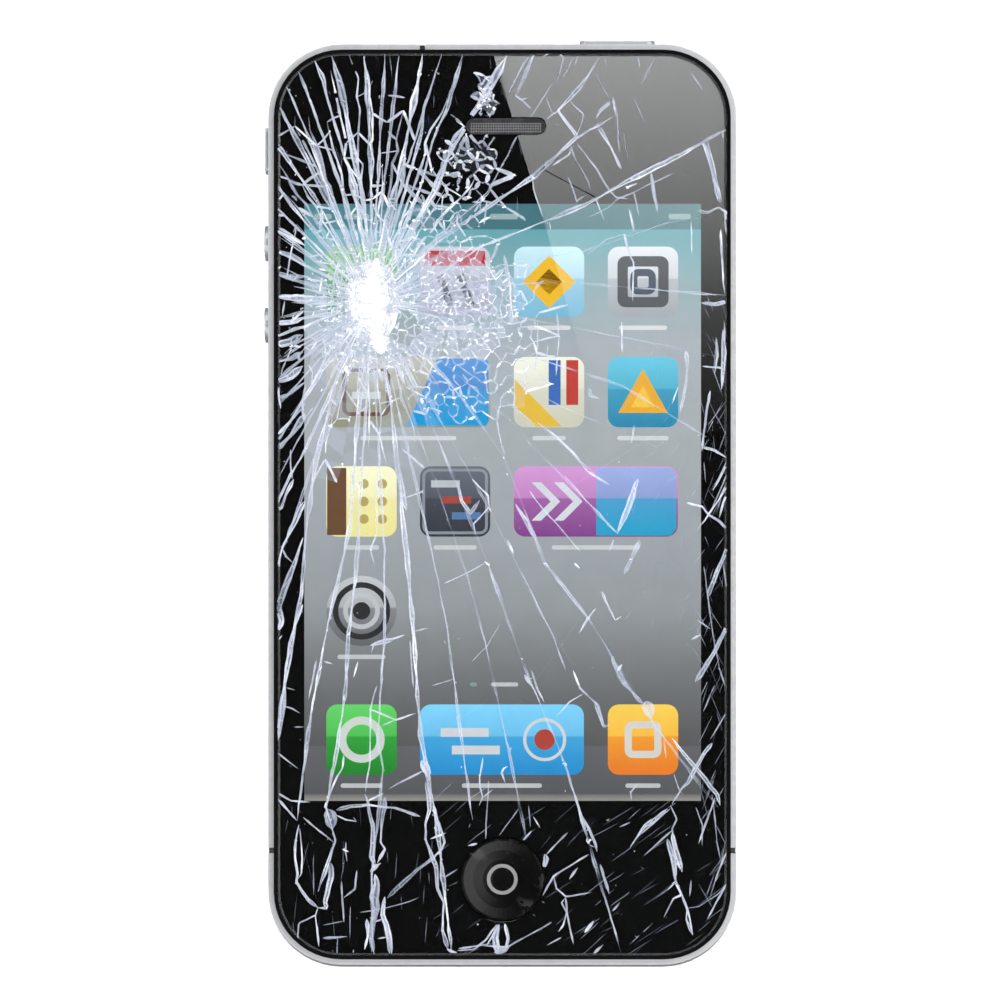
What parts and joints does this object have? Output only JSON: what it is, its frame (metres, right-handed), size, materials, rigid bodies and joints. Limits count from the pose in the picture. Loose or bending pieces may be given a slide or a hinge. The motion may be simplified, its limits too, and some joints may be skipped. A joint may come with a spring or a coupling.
{
  "type": "shattered screen phone",
  "caption": "Slab mobile phone lying on its back, with a steel band, working buttons, a lit screen and a front glass broken into shards from one impact.",
  "frame": {"origin": "centre of the back glass's outer face", "axes": "+Z out of the screen, +Y towards the earpiece end, +X to the right when the screen is seen from the front"},
  "size_m": [0.0591, 0.1158, 0.0093],
  "materials": {
    "steel_band": "satin, with fine lengthwise brushing",
    "button_metal": "satin",
    "black_plastic": "fine matt",
    "gloss_black": "gloss",
    "back_glass": "black glass, polished",
    "front_glass": "clear polished glass, broken",
    "crushed_glass": "crushed white glass",
    "screen": "lit liquid crystal display",
    "mesh_metal": "woven wire",
    "lens": "coated lens",
    "flash_lens": "clear lens over a yellow phosphor",
    "battery_wrap": "foil wrap",
    "board": "solder mask",
    "inner_metal": "stamped sheet",
    "card_plastic": "plain card"
  },
  "bodies": {
    "chassis": {"band_left": "steel_band", "band_right": "steel_band", "band_bottom": "steel_band", "slit_top": "black_plastic", "slit_left": "black_plastic", "slit_right": "black_plastic", "front_frame": "black_plastic", "back_frame": "black_plastic", "back_glass": "back_glass", "camera_ring": "steel_band", "camera_window": "lens", "flash_led": "flash_lens", "rear_camera": "lens", "mid_plate": "inner_metal", "lcd_tray": "inner_metal", "lcd_panel": "screen", "home_switch": "inner_metal", "earpiece_mesh": "mesh_metal", "earpiece_speaker": "black_plastic", "front_camera": "lens", "headphone_jack": "black_plastic", "dock_connector": "inner_metal", "bottom_screw_left": "inner_metal", "bottom_screw_right": "inner_metal", "battery": "battery_wrap", "logic_board": "board", "upper_shield": "inner_metal", "lower_shield": "inner_metal", "vibration_motor": "inner_metal", "loudspeaker": "black_plastic", "microphone": "black_plastic", "glass_core": "crushed_glass", "glass_shard_01": "front_glass", "glass_shard_02": "front_glass", "glass_shard_03": "front_glass", "glass_shard_04": "front_glass", "glass_shard_05": "front_glass", "glass_shard_06": "front_glass", "glass_shard_07": "front_glass", "glass_shard_08": "front_glass", "glass_shard_09": "front_glass", "glass_shard_10": "front_glass", "glass_shard_11": "front_glass", "glass_shard_12": "front_glass", "glass_shard_13": "front_glass", "glass_shard_14": "front_glass", "glass_shard_15": "front_glass", "glass_shard_16": "front_glass", "glass_shard_17": "front_glass", "glass_shard_18": "front_glass", "glass_shard_19": "front_glass", "glass_shard_20": "front_glass"},
    "home_button": {"home_button": "gloss_black"},
    "power_button": {"power_button": "button_metal"},
    "volume_up_button": {"volume_up_button": "button_metal"},
    "volume_down_button": {"volume_down_button": "button_metal"},
    "ring_switch": {"ring_switch": "button_metal"},
    "sim_tray": {"sim_tray": "button_metal", "sim_card": "card_plastic"}
  },
  "joints": [
    {"name": "home_press", "type": "slide", "parent": "chassis", "child": "home_button", "axis": [0, 0, -1], "range_m": [0, 0.0004], "stiffness_N_per_m": 1500, "springref_m": -0.0004},
    {"name": "power_press", "type": "slide", "parent": "chassis", "child": "power_button", "axis": [0, -1, 0], "range_m": [0, 0.0004], "stiffness_N_per_m": 1500, "springref_m": -0.0004},
    {"name": "volume_up_press", "type": "slide", "parent": "chassis", "child": "volume_up_button", "axis": [1, 0, 0], "range_m": [0, 0.0004], "stiffness_N_per_m": 1500, "springref_m": -0.0004},
    {"name": "volume_down_press", "type": "slide", "parent": "chassis", "child": "volume_down_button", "axis": [1, 0, 0], "range_m": [0, 0.0004], "stiffness_N_per_m": 1500, "springref_m": -0.0004},
    {"name": "ring_switch_slide", "type": "slide", "parent": "chassis", "child": "ring_switch", "axis": [0, 0, -1], "range_m": [0, 0.001]},
    {"name": "sim_tray_slide", "type": "slide", "parent": "chassis", "child": "sim_tray", "axis": [1, 0, 0], "range_m": [0, 0.02]}
  ]
}
